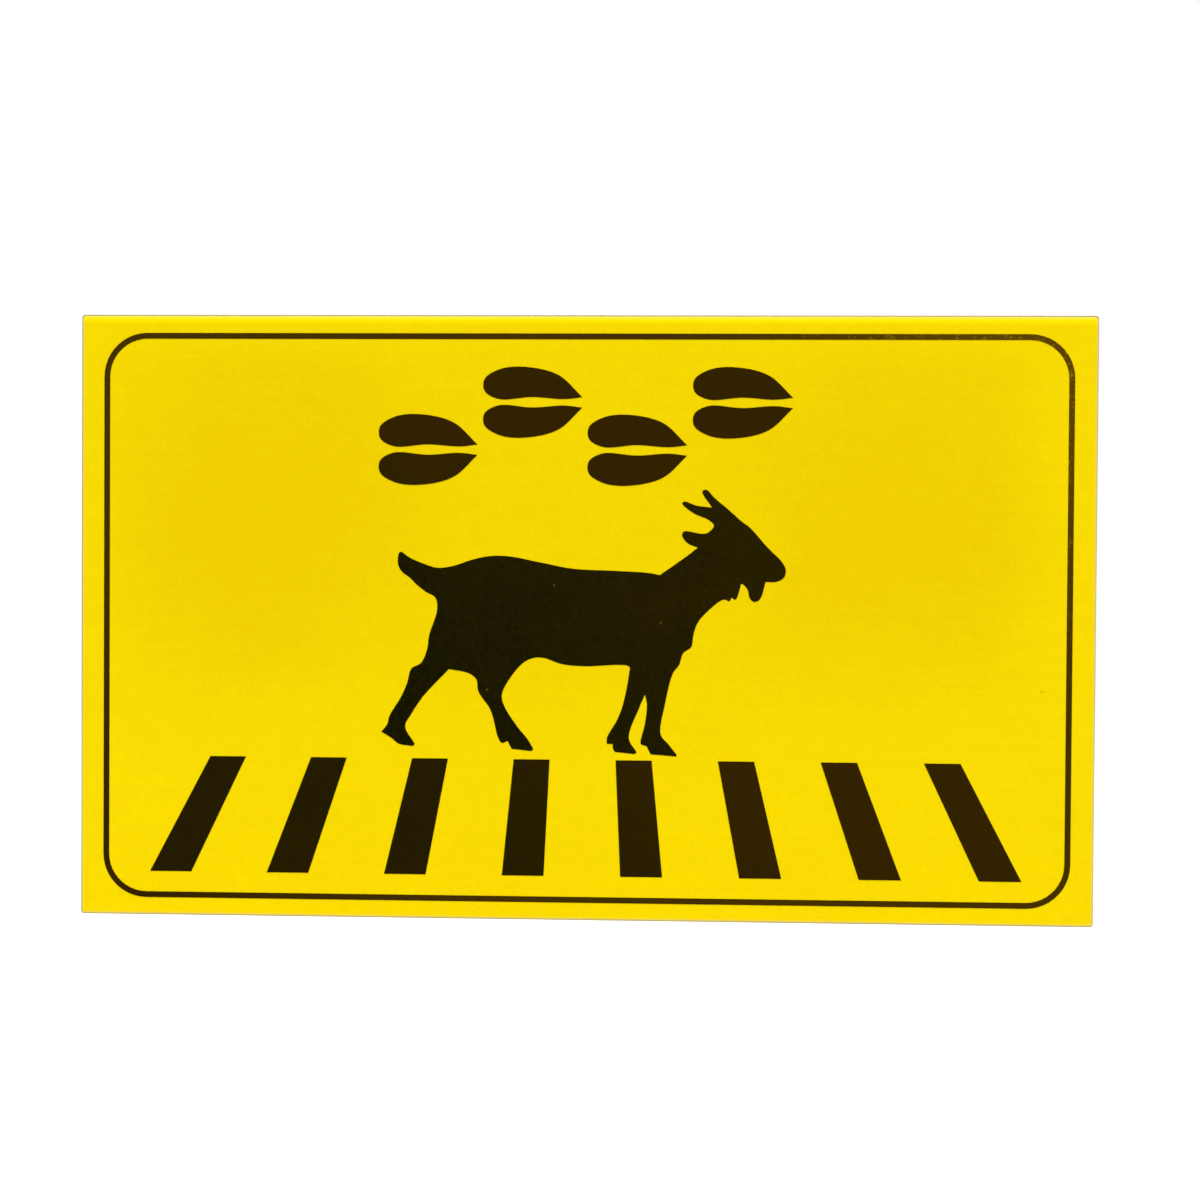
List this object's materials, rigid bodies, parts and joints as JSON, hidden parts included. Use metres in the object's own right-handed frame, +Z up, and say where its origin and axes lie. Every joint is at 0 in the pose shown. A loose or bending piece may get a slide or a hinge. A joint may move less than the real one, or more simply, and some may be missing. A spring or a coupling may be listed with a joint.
{
  "type": "goat crossing sign",
  "caption": "Flat yellow plastic goat crossing sign with a rolled top edge, printed in black with a goat silhouette, a border line, hoofprints and crossing stripes.",
  "frame": {"origin": "middle of the flat back face, where the sign is fixed to a post, fence or gate", "axes": "+X along the width, to the right as the printed front is read; +Y out of the back, into what the sign is fixed to; +Z up"},
  "size_m": [0.254, 0.0031, 0.1516],
  "materials": {
    "yellow_plastic": "satin, with a fine moulded grain",
    "black_ink": "satin printed film, warm black"
  },
  "bodies": {
    "root": {"sign_plate": "yellow_plastic", "border_line": "black_ink", "hoofprints": "black_ink", "goat_silhouette": "black_ink", "crossing_stripes": "black_ink"}
  },
  "joints": []
}
